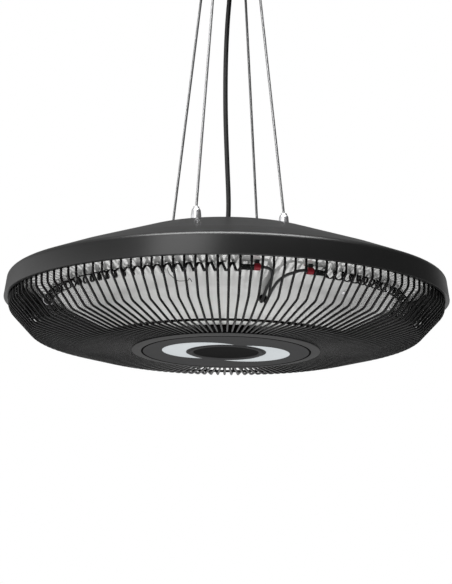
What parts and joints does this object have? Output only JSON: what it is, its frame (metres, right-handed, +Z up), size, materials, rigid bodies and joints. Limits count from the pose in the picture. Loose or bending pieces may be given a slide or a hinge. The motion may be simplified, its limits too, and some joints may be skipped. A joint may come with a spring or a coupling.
{
  "type": "hanging patio heater",
  "caption": "Round hanging electric patio heater: domed hood on steel ropes from a ceiling canopy, ring-shaped quartz element behind a wire guard, lamp drum underneath.",
  "frame": {"origin": "centre of the ceiling plate's upper face, on the heater's axis", "axes": "+Z up along the heater's axis, -Y towards the picture's camera, +X to its right"},
  "size_m": [0.602, 0.602, 0.5456],
  "materials": {
    "hood_paint": "satin dark grey paint",
    "guard_paint": "black powder coat",
    "trim_paint": "satin grey paint",
    "reflector_metal": "semi-bright spun sheet",
    "rope_steel": "bright strands",
    "grip_metal": "nickel plated",
    "zinc_steel": "zinc plated",
    "cord_rubber": "matt",
    "black_plastic": "matt",
    "cover_plastic": "fine grain",
    "sensor_plastic": "infrared window",
    "opal_plastic": "opal",
    "quartz": "clear fused quartz",
    "coil_alloy": "oxidised resistance wire",
    "seal_red": "silicone seal",
    "lead_sleeve": "woven glass sleeve",
    "grommet_rubber": "matt",
    "board_green": "coated board",
    "terminal_white": "moulded",
    "lamp_phosphor": "lamp chip"
  },
  "bodies": {
    "ceiling_mount": {"ceiling_plate": "hood_paint", "canopy_cup": "hood_paint", "rope_ferrules": "rope_steel", "cord_bush": "cord_rubber", "canopy_terminals": "terminal_white", "steel_rope_1": "rope_steel", "steel_rope_2": "rope_steel", "steel_rope_3": "rope_steel", "steel_rope_4": "rope_steel", "power_cord": "cord_rubber"},
    "heater": {"top_housing": "hood_paint", "guard_spokes": "guard_paint", "guard_rim_ring": "guard_paint", "guard_hoop": "guard_paint", "lamp_drum": "guard_paint", "trim_ring": "trim_paint", "reflector": "reflector_metal", "grip_bodies": "grip_metal", "chassis_plate": "zinc_steel", "grip_nuts": "zinc_steel", "gland_nut": "zinc_steel", "reflector_posts": "zinc_steel", "reflector_screws": "zinc_steel", "tube_clips": "zinc_steel", "cord_gland": "black_plastic", "control_box": "black_plastic", "power_relay": "black_plastic", "lamp_driver": "black_plastic", "signal_receiver": "black_plastic", "left_bracket": "black_plastic", "right_bracket": "black_plastic", "cover_plate": "cover_plastic", "sensor_bezel": "cover_plastic", "sensor_window": "sensor_plastic", "light_windows": "opal_plastic", "quartz_tube": "quartz", "heating_coil": "coil_alloy", "left_seal": "seal_red", "right_seal": "seal_red", "left_lead": "lead_sleeve", "right_lead": "lead_sleeve", "lead_grommet": "grommet_rubber", "control_board": "board_green", "lamp_boards": "board_green", "mains_terminals": "terminal_white", "lamp_chips": "lamp_phosphor"},
    "collar_1": {"grip_collar_1": "grip_metal"},
    "collar_2": {"grip_collar_2": "grip_metal"},
    "collar_3": {"grip_collar_3": "grip_metal"},
    "collar_4": {"grip_collar_4": "grip_metal"}
  },
  "joints": [
    {"name": "height_slide", "type": "slide", "parent": "ceiling_mount", "child": "heater", "axis": [0, 0, 1], "range_m": [0, 0.15], "deforming": ["steel_rope_1", "steel_rope_2", "steel_rope_3", "steel_rope_4", "power_cord"]},
    {"name": "collar_1_press", "type": "slide", "parent": "heater", "child": "collar_1", "axis": [0, 0, -1], "range_m": [0, 0.0025], "stiffness_N_per_m": 800, "springref_m": -0.001},
    {"name": "collar_2_press", "type": "slide", "parent": "heater", "child": "collar_2", "axis": [0, 0, -1], "range_m": [0, 0.0025], "stiffness_N_per_m": 800, "springref_m": -0.001},
    {"name": "collar_3_press", "type": "slide", "parent": "heater", "child": "collar_3", "axis": [0, 0, -1], "range_m": [0, 0.0025], "stiffness_N_per_m": 800, "springref_m": -0.001},
    {"name": "collar_4_press", "type": "slide", "parent": "heater", "child": "collar_4", "axis": [0, 0, -1], "range_m": [0, 0.0025], "stiffness_N_per_m": 800, "springref_m": -0.001}
  ]
}
